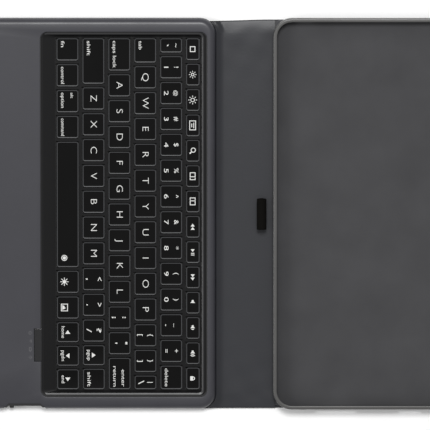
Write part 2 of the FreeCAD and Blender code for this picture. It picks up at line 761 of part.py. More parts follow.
def loop_outline(sketch, inset):
    """A flat foot, straight sides and a round top, drawn in by an inset."""
    half = value(f"loop_width / 2 - {inset}")
    foot = value("loop_foot / 2")
    base = value(inset)
    shoulder = value("loop_height - loop_width / 2")
    low = half - foot
    up = Vector(0, 0, 1)
    quarter = math.pi / 2
    first = sketch.GeometryCount
    sketch.addGeometry([
        Part.LineSegment(Vector(-foot, base, 0), Vector(foot, base, 0)),
        Part.ArcOfCircle(Part.Circle(Vector(foot, base + low, 0), up, low), -quarter, 0),
        Part.LineSegment(Vector(half, base + low, 0), Vector(half, shoulder, 0)),
        Part.ArcOfCircle(Part.Circle(Vector(0, shoulder, 0), up, half), 0, 2 * quarter),
        Part.LineSegment(Vector(-half, shoulder, 0), Vector(-half, base + low, 0)),
        Part.ArcOfCircle(Part.Circle(Vector(-foot, base + low, 0), up, low), 2 * quarter, 3 * quarter),
    ])
    rules = [Sketcher.Constraint("Tangent", first + side, 2, first + (side + 1) % 6, 1) for side in range(6)]
    rules.append(Sketcher.Constraint("Symmetric", first, 1, first, 2, -2))
    rules += [Sketcher.Constraint("Vertical", first + side) for side in (2, 4)]
    rules.append(Sketcher.Constraint("Equal", first + 1, first + 5))
    sketch.addConstraint(rules)
    if base:
        measure(sketch, "DistanceY", -1, 1, first, 1, formula=inset)
    else:
        sketch.addConstraint(Sketcher.Constraint("PointOnObject", first, 1, -1))
    measure(sketch, "DistanceX", first, 1, first, 2, formula="loop_foot")
    measure(sketch, "DistanceX", first + 4, 1, first + 2, 1, formula=f"loop_width - 2 * {inset}")
    measure(sketch, "DistanceY", -1, 1, first + 3, 3, formula="loop_height - loop_width / 2")


loop_body = new_body("pen_loop_band")
loop_sketch = new_sketch(loop_body, "YZ_Plane", x="loop_middle", y="spine_thickness")
loop_outline(loop_sketch, "0")
loop_outline(loop_sketch, "loop_band")
pad(loop_body, loop_sketch, "loop_length", both_ways=True)
keep("pen_loop", loop_body)


# Back flap between the stand fold and the tray fold

keep("flap_skin", strip("flap_skin_sheet", "stand_fold + fold_clear",
                        "tray_fold - stand_fold - 2 * fold_clear", "skin", "skin * stand_bevel", "0",
                        "spine_length"))


def flap_layer(label, bottom, thickness):
    """A flat layer of the flap, set back at the stand fold so that it clears the spine."""
    setback = f"stand_fold + ({bottom} + {thickness}) * stand_bevel + fold_clear"
    return plate(label, y=setback, z=bottom, width="spine_length - 2 * board_inset",
                 depth=f"tray_fold - fold_clear - ({setback})", height=thickness)


keep("flap_board", flap_layer("flap_stiffener", "skin", "flap_board"))
keep("flap_lining", flap_layer("flap_lining_sheet", "(skin + flap_board)", "flap_lining"))


# Back cover and tray beyond the tray fold

camera_room = document.addObject("Part::Cylinder", "camera_room")
bind(camera_room, Radius="camera_radius", Height="tray_top")
put(camera_room, "camera_setback - tray_half", "tray_rear - camera_setback", "-skin")


def back_layer(label, bottom, thickness, inset):
    """A flat layer of the back cover, with a hole for the camera."""
    sheet = plate(label + "_sheet", y="tray_fold + fold_clear", z=bottom,
                  width=f"tray_width - 2 * ({inset})",
                  depth=f"tray_rear - ({inset}) - tray_fold - fold_clear",
                  height=thickness, rear=f"tray_corner - ({inset})")
    return cut(label, sheet, [camera_room])


keep("back_cover_skin", back_layer("back_skin", "0", "skin", "back_inset"))
keep("back_cover_board", back_layer("back_stiffener", "skin", "floor_bottom - skin",
                                    "back_inset + board_inset"))

floor_plate = plate("floor_plate", y="tray_front", z="floor_bottom", width="tray_width", depth="tray_depth",
                    height="tray_floor", front="tray_corner", rear="tray_corner")
strip_seat = rectangle(floor_plate, "0", "tray_front + dock_strip_setback", "floor_bottom",
                       "dock_strip_length", "dock_strip_depth")
pocket(floor_plate, strip_seat, "dock_strip_thickness", upward=True)
keep("tray_floor", cut("holed_floor", floor_plate, [camera_room]))
keep("tray_dock_strip", plate("dock_strip", y="tray_front + dock_strip_setback", z="floor_bottom",
                              width="dock_strip_length", depth="dock_strip_depth",
                              height="dock_strip_thickness"))
lining_sheet = plate("lining_sheet", y="tray_front + tray_wall + lining_inset", z="floor_top",
                     width="tray_width - 2 * (tray_wall + lining_inset)",
                     depth="tray_depth - 2 * (tray_wall + lining_inset)", height="tray_lining",
                     front="tray_corner - tray_wall - lining_inset",
                     rear="tray_corner - tray_wall - lining_inset")
keep("tray_lining", cut("holed_lining", lining_sheet, [camera_room]))


def tray_room(label, inset, bottom, top):
    """A room inside the rim, drawn in from the outside of the tray."""
    return plate(label, y=f"tray_front + {inset}", z=bottom, width=f"tray_width - 2 * ({inset})",
                 depth=f"tray_depth - 2 * ({inset})", height=f"{top} - ({bottom})",
                 front=f"tray_corner - ({inset})", rear=f"tray_corner - ({inset})")


def end_window(label, side, y, length, height="window_height"):
    """A cut-out through one of the short end walls."""
    return box(label, f"{side} * (tray_half - tray_wall / 2)", y, "floor_top + tray_lining + window_sill",
               "4 * tray_wall", length, height)


rim_block = plate("rim_block", y="tray_front", z="floor_top", width="tray_width", depth="tray_depth",
                  height="tray_top - floor_top", front="tray_corner", rear="tray_corner")
bevel_top(rim_block, "tray_top", "rim_bevel")
rim_rooms = [
    tray_room("tablet_room", "tray_wall", "floor_bottom", "lip_bottom"),
    tray_room("mouth_room", "tray_wall + lip_reach", "floor_bottom", "tray_top + tray_wall"),
    end_window("connector_room", 1, "tray_middle", "connector_window"),
    end_window("left_speaker_room", 1, "tray_middle - speaker_offset", "speaker_window", "speaker_height"),
    end_window("right_speaker_room", 1, "tray_middle + speaker_offset", "speaker_window", "speaker_height"),
    end_window("jack_room", -1, "tray_front + jack_setback", "jack_window"),
    end_window("button_room", -1, "tray_rear - button_setback", "button_window"),
    box("volume_room", "volume_setback - tray_half", "tray_rear - tray_wall / 2",
        "floor_top + tray_lining + window_sill", "volume_window", "4 * tray_wall", "window_height"),
]
keep("tray_rim", cut("moulded_rim", rim_block, rim_rooms))


# Checks, then one file for each sub-part

document.recompute()
failed = [item.Label for item in document.Objects if {"Invalid", "Error"} & set(item.State)]
if failed:
    raise RuntimeError("not rebuilt: " + ", ".join(failed))
for name, item in nodes.items():
    if item.Shape.isNull() or not item.Shape.isValid() or not item.Shape.Solids:
        raise RuntimeError("not a valid solid: " + name)

os.makedirs("parts", exist_ok=True)
for name, item in nodes.items():
    item.Shape.exportStep(f"parts/{name}.step")
print(f"{len(nodes)} sub-parts, {sum(len(item.Shape.Solids) for item in nodes.values())} solids")
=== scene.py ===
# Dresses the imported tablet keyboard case: leather covers, soft spine, keys with legends, tray and pen loop.
# Metres, in the part's own frame: +X is to the right of the person typing, +Y away from them, +Z up.

import json
import math
import bmesh
import bpy
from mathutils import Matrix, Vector


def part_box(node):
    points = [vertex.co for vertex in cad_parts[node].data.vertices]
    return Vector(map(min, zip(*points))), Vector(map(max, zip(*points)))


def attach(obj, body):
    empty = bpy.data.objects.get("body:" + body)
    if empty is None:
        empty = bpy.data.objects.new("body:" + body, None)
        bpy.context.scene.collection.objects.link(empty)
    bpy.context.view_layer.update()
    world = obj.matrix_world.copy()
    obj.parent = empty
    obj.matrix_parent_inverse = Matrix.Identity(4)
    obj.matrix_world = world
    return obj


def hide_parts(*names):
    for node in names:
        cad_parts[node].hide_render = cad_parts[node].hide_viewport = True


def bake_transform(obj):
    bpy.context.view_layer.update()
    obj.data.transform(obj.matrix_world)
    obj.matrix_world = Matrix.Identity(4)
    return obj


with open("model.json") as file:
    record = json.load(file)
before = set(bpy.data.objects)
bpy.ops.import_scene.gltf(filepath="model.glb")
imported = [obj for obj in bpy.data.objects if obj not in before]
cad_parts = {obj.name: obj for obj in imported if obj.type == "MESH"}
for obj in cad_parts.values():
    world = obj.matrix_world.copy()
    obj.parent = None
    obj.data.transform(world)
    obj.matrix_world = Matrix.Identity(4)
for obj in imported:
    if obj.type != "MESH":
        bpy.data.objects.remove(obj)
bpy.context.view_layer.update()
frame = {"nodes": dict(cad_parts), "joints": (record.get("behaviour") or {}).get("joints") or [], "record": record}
nodes = frame["nodes"]
joints = {joint["name"]: joint for joint in frame["joints"]}
MM = 0.001

# Camera, fitted to the photograph
IMAGE_SIDE = 430
PIXELS_PER_METRE = 1541.5
VIEW_MIDDLE = Vector((1.0, -14.3, 2.0)) * MM
CAMERA_DISTANCE = 4.0
CAMERA_LEAN = math.radians(4.6)
SENSOR_WIDTH = 36.0

# Floor and light: each lamp has its place, side length and power, and aims at the part
FLOOR_REACH = 2.0
FLOOR_GAP = 0.05 * MM
DAYLIGHT = 0.47
LAMPS = {
    "window_light": ((-1.2, 0.0, 2.8), 0.9, 54.0),
    "front_light": ((0.0, -2.5, 1.6), 1.0, 19.0),
}

# Colour and relief of every material
MOTTLE_SIZE = 25.0 * MM
MOTTLE_DETAIL = 3.0
MOTTLE_START = 0.3
MOTTLE_END = 0.9
GRAIN_SHARE = 0.3
ROUGHNESS_SPAN = 0.06
PLASTIC_DETAIL = 6.0
SCRATCH_DETAIL = 4.0
SCRATCH_STRETCH = 0.02
THREAD_WOBBLE = 0.6
CREASE_SPACING = 3

# Meshes
FULL_TURN = 4.0
CORNER_STEPS = 8
EDGE_STEPS = 6
HOLE_STEPS = 32
EDGE_BEND = 0.3
SAME_POINT = 0.001 * MM
WELD_REACH = 0.002 * MM
BEVEL_STEPS = 2
BEVEL_ANGLE = math.radians(35)

# Covers, tray and pen loop
SKIN_EDGE = 0.3 * MM
PANEL_CORNER = 10.0 * MM
PANEL_ROUND = 4.0 * MM
WELL_CORNER = 4.6 * MM
WELL_ROUND = 0.4 * MM
WELL_WALL = 0.9 * MM
DECK_LEDGE = 1.3 * MM
FRONT_LEDGE = 0.8 * MM
REAR_LEDGE = 0.9 * MM
WELL_SHIFT = 0.5 * MM
STATUS_FIT = 0.15 * MM
RECESS_PLACE = CORNER_STEPS + 1
NOTCH_PLACE = 2 * CORNER_STEPS + 2
NOTCH_COVER = 0.05 * MM
NOTCH_GAP = 0.6 * MM
TRAY_CORNER = 12.0 * MM
CAMERA_HOLE = 8.0 * MM
CAMERA_SETBACK = 16.0 * MM
BACK_SETBACK = 4.0 * MM
LINING_EDGE = 0.12 * MM
LOOP_FOOT = 1.0 * MM
LOOP_BAND = 0.8 * MM
LOOP_EDGE = 0.2 * MM
LOOP_SAG = 0.4 * MM
LOOP_NARROW = 0.1

# Key caps
KEY_CORNER = 1.5 * MM
KEY_DRAFT = 0.04 * MM
KEY_TRIM = 0.3 * MM
KEY_EDGE = 0.5 * MM
KEY_DISH = 0.1 * MM
KEY_WALL = 0.8 * MM
KEY_ROOF = 1.0 * MM
KEY_GAP = 1.0 * MM

# The soft spine
SPINE_THICK = 2.0 * MM
SPINE_RISE = 0.6 * MM
WEB_RUN = 6.0 * MM
WEB_RISE = 2.2 * MM
CREASE_RISE = 0.7 * MM
CREASE_WIDTH = 1.1 * MM
CREASE_START = (-125.8 * MM, -15.0 * MM)
CREASE_RUN = (7.5 * MM, 6.2 * MM)
CREASE_GROWS = (-0.15, 0.2)
CREASE_FADES = (0.45, 1.1)
SPINE_STATIONS = 7
SPINE_SAMPLES = 96
SPINE_EDGE_RUN = 0.8 * MM
SPINE_EDGE_CLEAR = 1.5 * SPINE_EDGE_RUN
SPINE_EDGE_DROP = 0.4 * MM
SPINE_TAPER_RUN = 10.0 * MM
# Width of the painted shade along the leather's outer edges
PAINTED_SHADE_EDGE = 0.45 * MM
LEFT_TAPER = 0.95 * MM
LEFT_DRAW = 0.8 * MM
RIGHT_TAPER = 0.2 * MM
RIGHT_REACH = 1.1 * MM
TONGUE = 9.2 * MM
SPINE_TUCK = 0.05 * MM
UNDER_PANEL = -0.1 * SPINE_TUCK
SPINE_STEP = 0.5 * MM
FOLD_HALF = 2.2 * MM
RIPPLE = 0.1 * MM
RIPPLE_FADE = 22.0 * MM

# Strength of each wave of the ripple, and its turn for each millimetre along y and in from the edge
RIPPLE_WAVES = ((1.0, 0.33, 0.21), (0.6, 0.15, -0.4))


# Materials


def noise(tree, where, size, detail=2.0):
    node = tree.nodes.new("ShaderNodeTexNoise")
    node.inputs["Scale"].default_value = 1 / size
    node.inputs["Detail"].default_value = detail
    tree.links.new(where, node.inputs["Vector"])
    return node.outputs["Fac"]


def combine(tree, operation, first, second):
    node = tree.nodes.new("ShaderNodeMath")
    node.operation = operation
    for place, term in enumerate((first, second)):
        if isinstance(term, float):
            node.inputs[place].default_value = term
        else:
            tree.links.new(term, node.inputs[place])
    return node.outputs["Value"]


def spread(tree, factor, low, high):
    """A value that runs from low to high with a texture."""
    node = tree.nodes.new("ShaderNodeMapRange")
    node.inputs["To Min"].default_value = low
    node.inputs["To Max"].default_value = high
    tree.links.new(factor, node.inputs["Value"])
    return node.outputs["Result"]


def pebbles(tree, where, size):
    """Leather grain: rounded cells with creases between them."""
    node = tree.nodes.new("ShaderNodeTexVoronoi")
    node.feature = "SMOOTH_F1"
    node.inputs["Scale"].default_value = 1 / size
    tree.links.new(where, node.inputs["Vector"])
    return combine(tree, "MULTIPLY", node.outputs["Distance"], noise(tree, where, CREASE_SPACING * size))


def bands(tree, where, direction, size):
    node = tree.nodes.new("ShaderNodeTexWave")
    node.bands_direction = direction
    node.inputs["Scale"].default_value = math.pi / (10 * size)
    node.inputs["Distortion"].default_value = THREAD_WOBBLE
    tree.links.new(where, node.inputs["Vector"])
    return node.outputs["Fac"]


def weave(tree, where, size):
    """Threads that cross each other."""
    crossed = combine(tree, "MULTIPLY", bands(tree, where, "X", size), bands(tree, where, "Y", size))
    return combine(tree, "ADD", crossed, noise(tree, where, size))


def brushed(tree, where, size):
    """Long fine scratches along X."""
    stretch = tree.nodes.new("ShaderNodeMapping")
    stretch.inputs["Scale"].default_value = (SCRATCH_STRETCH, 1.0, 1.0)
    tree.links.new(where, stretch.inputs["Vector"])
    return noise(tree, stretch.outputs["Vector"], size, SCRATCH_DETAIL)


def spark(tree, where, size):
    """The fine texture of moulded plastic."""
    return noise(tree, where, size, PLASTIC_DETAIL)


def finish(name, colour, roughness, grain, size, depth, mottle=0.12, metallic=0.0, sheen=0.0, coat=0.0,
           gloss=0.5):
    """A material with mottled colour and roughness, and a relief with its size and depth in millimetres."""
    material = bpy.data.materials.new(name)
    material.use_nodes = True
    tree = material.node_tree
    surface = tree.nodes["Principled BSDF"]
    surface.inputs["Metallic"].default_value = metallic
    surface.inputs["Sheen Weight"].default_value = sheen
    surface.inputs["Coat Weight"].default_value = coat
    surface.inputs["Specular IOR Level"].default_value = gloss
    where = tree.nodes.new("ShaderNodeTexCoord").outputs["Object"]
    relief = grain(tree, where, size * MM)
    mottling = noise(tree, where, MOTTLE_SIZE, MOTTLE_DETAIL)
    patches = combine(tree, "ADD", mottling, combine(tree, "MULTIPLY", relief, GRAIN_SHARE))
    ramp = tree.nodes.new("ShaderNodeValToRGB")
    ramp.color_ramp.elements[0].position = MOTTLE_START
    ramp.color_ramp.elements[1].position = MOTTLE_END
    for element, shade in zip(ramp.color_ramp.elements, (1 - mottle, 1 + mottle)):
        element.color = (*(min(1.0, channel * shade) for channel in colour), 1.0)
    tree.links.new(patches, ramp.inputs["Fac"])
    tree.links.new(ramp.outputs["Color"], surface.inputs["Base Color"])
    uneven = spread(tree, patches, roughness + ROUGHNESS_SPAN, roughness - ROUGHNESS_SPAN)
    tree.links.new(uneven, surface.inputs["Roughness"])
    bump = tree.nodes.new("ShaderNodeBump")
    bump.inputs["Distance"].default_value = depth * MM
    tree.links.new(relief, bump.inputs["Height"])
    tree.links.new(bump.outputs["Normal"], surface.inputs["Normal"])
    return material


leather = finish("leather", (0.0395, 0.0395, 0.047), 0.37, pebbles, 0.7, 0.03, gloss=0.45)
# The spine's leather is the covers' leather painted darker: painted shade for the low-lying spine.
spine_leather = finish("spine_leather", (0.023, 0.024, 0.0285), 0.4, pebbles, 0.7, 0.04, gloss=0.38)
# A near-black strip along the leather's outer edges: painted shade.
edge_ink = finish("edge_ink", (0.01, 0.01, 0.011), 0.7, spark, 0.5, 0.02, gloss=0.2)
pressed_mark = finish("pressed_mark", (0.1, 0.1, 0.105), 0.45, spark, 0.4, 0.01)
lining = finish("lining", (0.05, 0.051, 0.056), 0.75, pebbles, 0.5, 0.03, sheen=0.1)
key_top = finish("key_top", (0.0045, 0.0045, 0.0045), 0.5, spark, 0.25, 0.006, gloss=0.05)
# The keys' edge band is painted lighter than their tops: a painted highlight that shows on every side.
key_edge = finish("key_edge", (0.05, 0.051, 0.054), 0.4, spark, 0.25, 0.004, gloss=0.3)
# The deck plastic painted lighter for the lip's slope: a painted highlight, with more gloss as well.
deck_edge = finish("deck_edge", (0.021, 0.021, 0.022), 0.36, spark, 0.3, 0.004, gloss=0.5)
legend_white = finish("legend_white", (0.72, 0.72, 0.7), 0.5, spark, 0.2, 0.002, mottle=0.03)
elastic = finish("elastic", (0.0045, 0.004, 0.0035), 0.85, weave, 0.5, 0.15, gloss=0.05)
microfibre = finish("microfibre", (0.045, 0.045, 0.048), 0.95, spark, 0.3, 0.06, sheen=0.3)

# The solids' own slots: colour, roughness, grain with its size and depth, and what else differs
SLOT_LOOKS = {
    "stiffener": ((0.05, 0.05, 0.052), 0.7, spark, 0.6, 0.03, {}),
    "frame_plastic": ((0.008, 0.008, 0.0085), 0.6, spark, 0.4, 0.02, {}),
    "deck_plastic": ((0.0072, 0.0072, 0.0076), 0.42, spark, 0.3, 0.008, {"gloss": 0.15}),
    "knob_plastic": ((0.02, 0.02, 0.02), 0.4, spark, 0.2, 0.006, {}),
    "window_plastic": ((0.006, 0.006, 0.007), 0.3, spark, 2.0, 0.002, {"coat": 0.2}),
    "silicone": ((0.03, 0.03, 0.03), 0.6, spark, 0.5, 0.01, {}),
    "film": ((0.012, 0.012, 0.013), 0.4, spark, 4.0, 0.004, {}),
    "light_guide": ((0.75, 0.75, 0.75), 0.2, spark, 1.0, 0.01, {}),
    "lamp": ((0.85, 0.85, 0.7), 0.3, spark, 0.5, 0.004, {}),
    "steel": ((0.5, 0.5, 0.5), 0.35, brushed, 0.3, 0.01, {"metallic": 1.0}),
    "battery_pouch": ((0.4, 0.4, 0.42), 0.35, spark, 3.0, 0.05, {"metallic": 0.6}),
    "lead": ((0.02, 0.02, 0.02), 0.5, spark, 0.4, 0.01, {}),
    "circuit_board": ((0.02, 0.1, 0.04), 0.4, weave, 0.5, 0.01, {}),
    "magnet": ((0.45, 0.45, 0.46), 0.25, brushed, 0.2, 0.004, {"metallic": 1.0}),
    "tray_plastic": ((0.04, 0.04, 0.043), 0.5, spark, 0.4, 0.01, {}),
    "tray_rubber": ((0.075, 0.074, 0.072), 0.32, spark, 0.5, 0.01, {"gloss": 0.6}),
}
SLOT_FINISH = {slot: finish(slot, *look, **others) for slot, (*look, others) in SLOT_LOOKS.items()}


def white_floor():
    """A pale matt floor that shows as white to the camera and keeps the part's shadow."""
    material = bpy.data.materials.new("floor_paper")
    material.use_nodes = True
    surface = material.node_tree.nodes["Principled BSDF"]
    surface.inputs["Base Color"].default_value = (1.0, 1.0, 1.0, 1.0)
    surface.inputs["Roughness"].default_value = 1.0
    surface.inputs["Specular IOR Level"].default_value = 0.0
    return material


# Meshes


class Maker:
    """Collects the points and faces of one piece, each face with the number of its material."""

    def __init__(self):
        self.points = []
        self.faces = []
        self.kinds = []

    def add(self, points, faces, kind=0):
        start = len(self.points)
        self.points += [tuple(point) for point in points]
        self.faces += [tuple(start + corner for corner in face) for face in faces]
        self.kinds += [kind] * len(faces)

    def loft(self, rings, kind=0):
        """A skin through closed rings of equally many points."""
        count = len(rings[0])
        faces = []
        for ring in range(len(rings) - 1):
            for place in range(count):
                after = (place + 1) % count
                faces.append((ring * count + place, ring * count + after,
                              (ring + 1) * count + after, (ring + 1) * count + place))
        self.add([point for ring in rings for point in ring], faces, kind)

    def fill(self, loops, kind=0, upward=True):
        """A flat face inside the first loop and outside the others."""
        mesh = bmesh.new()
        edges = []
        for loop in loops:
            corners = [mesh.verts.new(point) for point in loop]
            for place in range(len(corners)):
                edges.append(mesh.edges.new((corners[place - 1], corners[place])))
        bmesh.ops.triangle_fill(mesh, edges=edges, use_beauty=True, normal=(0, 0, 1 if upward else -1))
        mesh.verts.index_update()
        mesh.normal_update()
        faces = []
        for face in mesh.faces:
            corners = [corner.index for corner in face.verts]
            faces.append(corners if (face.normal.z > 0) == upward else corners[::-1])
        self.add([corner.co[:] for corner in mesh.verts], faces, kind)
        mesh.free()

    def piece(self, name, *materials, smooth_angle=40.0):
        """The object that these points and faces make, with edges sharper than an angle kept sharp."""
        mesh = bpy.data.meshes.new(name)
        mesh.from_pydata(self.points, [], self.faces)
        for material in materials:
            mesh.materials.append(material)
        mesh.polygons.foreach_set("material_index", self.kinds)
        shape = bmesh.new()
        shape.from_mesh(mesh)
        bmesh.ops.remove_doubles(shape, verts=shape.verts, dist=SAME_POINT)
        bmesh.ops.recalc_face_normals(shape, faces=shape.faces)
        shape.to_mesh(mesh)
        shape.free()
        mesh.polygons.foreach_set("use_smooth", [True] * len(mesh.polygons))
        mesh.set_sharp_from_angle(angle=math.radians(smooth_angle))
        obj = bpy.data.objects.new(name, mesh)
        bpy.context.scene.collection.objects.link(obj)
        return obj


def arc(middle, radius, first, last, steps):
    """Points on part of a circle, both ends among them, with angles in quarter turns."""
    for step in range(steps + 1):
        angle = (first + (last - first) * step / steps) * math.pi / 2
        yield middle[0] + radius * math.cos(angle), middle[1] + radius * math.sin(angle)


def circle(middle, radius, steps):
    return list(arc(middle, radius, 0, FULL_TURN - FULL_TURN / steps, steps - 1))


def rounded(low, high, front, rear, inset=0.0):
    """A rectangle with rounded front and rear corners, drawn in by an inset, from its front left corner."""
    outline = []
    corners = ((low[0], low[1], front, 2), (high[0], low[1], front, 3),
               (high[0], high[1], rear, 0), (low[0], high[1], rear, 1))
    for x, y, radius, turn in corners:
        sign_x = 1 if x == low[0] else -1
        sign_y = 1 if y == low[1] else -1
        reach = max(radius, inset)
        middle = (x + sign_x * reach, y + sign_y * reach)
        bend = max(radius - inset, 0.0)
        outline += arc(middle, bend, turn, turn + 1, CORNER_STEPS)
    return outline


def at(outline, z):
    return [(x, y, z) for x, y in outline]


def soften(node, width):
    """Give a moulded piece the small rounded edges that catch the light."""
    weld = node.modifiers.new("weld", "WELD")
    weld.merge_threshold = WELD_REACH
    bevel = node.modifiers.new("bevel", "BEVEL")
    bevel.width = width
    bevel.segments = BEVEL_STEPS
    bevel.limit_method = "ANGLE"
    bevel.angle_limit = BEVEL_ANGLE
    node.modifiers.new("normals", "WEIGHTED_NORMAL")


# Carried-over solids

SOFT_EDGE = {
    "tray_rim": 0.4 * MM,
    "tray_floor": 0.2 * MM,
    "status_window": 0.2 * MM,
    "port_plate": 0.1 * MM,
    "charging_socket": 0.08 * MM,
    "power_switch_knob": 0.2 * MM,
    "panel_frame": 0.15 * MM,
}
for subpart in frame["record"]["subparts"]:
    node = nodes[subpart["node"]]
    node.data.polygons.foreach_set("use_smooth", [True] * len(node.data.polygons))
    if subpart["material_slot"] in SLOT_FINISH:
        node.data.materials.clear()
        node.data.materials.append(SLOT_FINISH[subpart["material_slot"]])
    if subpart["node"] in SOFT_EDGE:
        soften(node, SOFT_EDGE[subpart["node"]])


# Leather covers

palm_low, palm_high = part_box("palm_rest_cover")
skin_low, skin_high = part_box("front_cover_skin")
deck_low, deck_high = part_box("keyboard_deck")
port_low, port_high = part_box("port_plate")
status_low, status_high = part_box("status_window")


def panel_outline(inset):
    """The keyboard panel's outline, with the notch for the socket and switch in its right side."""
    outline = rounded(palm_low, palm_high, PANEL_CORNER, PANEL_CORNER, inset)
    edge = palm_high.x - inset
    face = min(edge, port_low.x - NOTCH_GAP)
    front = port_low.y + NOTCH_COVER
    rear = port_high.y - NOTCH_COVER
    notch = [(edge, front - edge + face), (face, front), (face, rear), (edge, rear + edge - face)]
    return outline[:NOTCH_PLACE] + notch + outline[NOTCH_PLACE:]


def well_outline(grow):
    """The keyboard well's outline, with the recess for the status lights in its front side."""
    low = deck_low + Vector((WELL_SHIFT - DECK_LEDGE, -FRONT_LEDGE, 0))
    high = deck_high + Vector((WELL_SHIFT + DECK_LEDGE, REAR_LEDGE, 0))
    outline = rounded(low, high, WELL_CORNER, WELL_CORNER, -grow)
    left = status_low.x - STATUS_FIT - grow
    right = status_high.x + STATUS_FIT + grow
    front = status_low.y - STATUS_FIT - grow
    recess = [(left, low.y - grow), (left, front), (right, front), (right, low.y - grow)]
    return outline[:RECESS_PLACE] + recess + outline[RECESS_PLACE:]


def quarter():
    """Cosine and sine of the steps of a quarter turn, without its start."""
    for step in range(1, EDGE_STEPS + 1):
        angle = step / EDGE_STEPS * math.pi / 2
        yield math.cos(angle), math.sin(angle)


maker = Maker()
shoulder = palm_high.z - PANEL_ROUND
sides = [(0.0, palm_low.z), (0.0, shoulder)]
sides += [(PANEL_ROUND * (1 - cosine), shoulder + PANEL_ROUND * sine) for cosine, sine in quarter()]
maker.loft([at(panel_outline(inset), z) for inset, z in sides])
maker.fill([at(panel_outline(PANEL_ROUND), palm_high.z), at(well_outline(WELL_ROUND), palm_high.z)])
walls = [(WELL_ROUND, palm_high.z)]
walls += [(WELL_ROUND * (1 - sine), palm_high.z - WELL_ROUND * (1 - cosine)) for cosine, sine in quarter()]
walls.append((0.0, palm_high.z - WELL_WALL))
maker.loft([at(well_outline(grow), z) for grow, z in walls])
palm_rest = maker.piece("palm_rest", leather, smooth_angle=50.0)
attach(palm_rest, "keyboard_panel")
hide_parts("palm_rest_cover")


def skin(maker, outline, bottom, top, hole=None):
    """A flat skin with rounded edges, from a function of the inset, round an optional hole."""
    bend = EDGE_BEND * SKIN_EDGE
    steps = ((SKIN_EDGE, bottom), (bend, bottom + bend), (0.0, bottom + SKIN_EDGE),
             (0.0, top - SKIN_EDGE), (bend, top - bend), (SKIN_EDGE, top))
    maker.loft([at(outline(inset), z) for inset, z in steps])
    if hole:
        maker.loft([at(hole(inset), z) for inset, z in steps])
    for z in (bottom, top):
        loops = [at(outline(SKIN_EDGE), z)]
        if hole:
            loops.append(at(hole(SKIN_EDGE), z))
        maker.fill(loops, upward=z == top)


maker = Maker()
skin(maker, panel_outline, skin_low.z, skin_high.z)
front_skin = maker.piece("front_skin", leather)
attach(front_skin, "keyboard_panel")
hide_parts("front_cover_skin")

folds = [joints[f"spine_fold_{number}"]["pos_m"][1] for number in range(1, 7)]
stand_fold = joints["stand_fold"]["pos_m"][1]
tray_fold = joints["tray_fold"]["pos_m"][1]
strip_low, strip_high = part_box("spine_strip_1")
back_low, back_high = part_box("back_cover_skin")
tray_low, tray_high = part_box("tray_floor")
lining_low, lining_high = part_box("tray_lining")
flap_low, flap_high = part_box("flap_lining")
back_front = tray_fold + BACK_SETBACK
camera_middle = (tray_low.x + CAMERA_SETBACK, tray_high.y - CAMERA_SETBACK)


def camera_hole(inset):
    return circle(camera_middle, CAMERA_HOLE + inset, HOLE_STEPS)


def back_outline(inset):
    low = Vector((back_low.x, back_front, 0))
    return rounded(low, back_high, SKIN_EDGE, TRAY_CORNER, inset)


maker = Maker()
skin(maker, back_outline, back_low.z, back_high.z, camera_hole)
back_skin = maker.piece("back_skin", leather)
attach(back_skin, "tablet_tray")
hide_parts("back_cover_skin")


# Soft spine, and the leather over the two folds of the stand


def smooth(value, low, high):
    """Runs from 0 at low to 1 at high, level at both."""
    share = min(max((value - low) / (high - low), 0.0), 1.0)
    return share * share * (3 - 2 * share)


def panel_distance(x, y):
    """How far a place lies outside the rear side and rear corners of the keyboard panel."""
    across = max(abs(x) - palm_high.x + PANEL_CORNER, 0.0)
    return math.hypot(across, y - palm_high.y + PANEL_CORNER) - PANEL_CORNER


def stations(low, high, count):
    return [low + (high - low) * step / count for step in range(count + 1)]


def spine_edges(y):
    """The left and right edges of the leather, which is drawn in beside the panel."""
    wide = smooth(y, tray_fold - FOLD_HALF, tray_fold)
    left = strip_low.x + LEFT_DRAW * (1 - smooth(y, palm_high.y, stand_fold))
    right = strip_high.x + RIGHT_REACH
    return left + (back_low.x - left) * wide, right + (back_high.x - right) * wide


def spine_places(y, left, right):
    """Places across the leather, close together at its edges and where the panel's corners cross it."""
    along = min(y - palm_high.y + PANEL_CORNER, PANEL_CORNER)
    corner = palm_high.x - PANEL_CORNER + math.sqrt(PANEL_CORNER ** 2 - along ** 2)
    near = max(-corner, left + SPINE_EDGE_CLEAR)
    far = min(corner, right - SPINE_EDGE_CLEAR)
    away = [SPINE_EDGE_RUN * step / EDGE_STEPS for step in range(EDGE_STEPS)]
    places = [left + run for run in away]
    places += stations(left + SPINE_EDGE_RUN, near, CORNER_STEPS)
    places += stations(near + SPINE_TUCK, far - SPINE_TUCK, SPINE_SAMPLES)
    places += stations(far, right - SPINE_EDGE_RUN, CORNER_STEPS)
    return places + [right - run for run in reversed(away)]


def crease(x, y):
    """A fold that runs out from the panel's left corner across the leather and dies away."""
    across, along = x - CREASE_START[0], y - CREASE_START[1]
    length = math.hypot(*CREASE_RUN)
    share = (across * CREASE_RUN[0] + along * CREASE_RUN[1]) / length ** 2
    offset = (across * CREASE_RUN[1] - along * CREASE_RUN[0]) / length
    ends = smooth(share, *CREASE_GROWS) * (1 - smooth(share, *CREASE_FADES))
    return CREASE_RISE * ends * math.exp(-(offset / CREASE_WIDTH) ** 2)


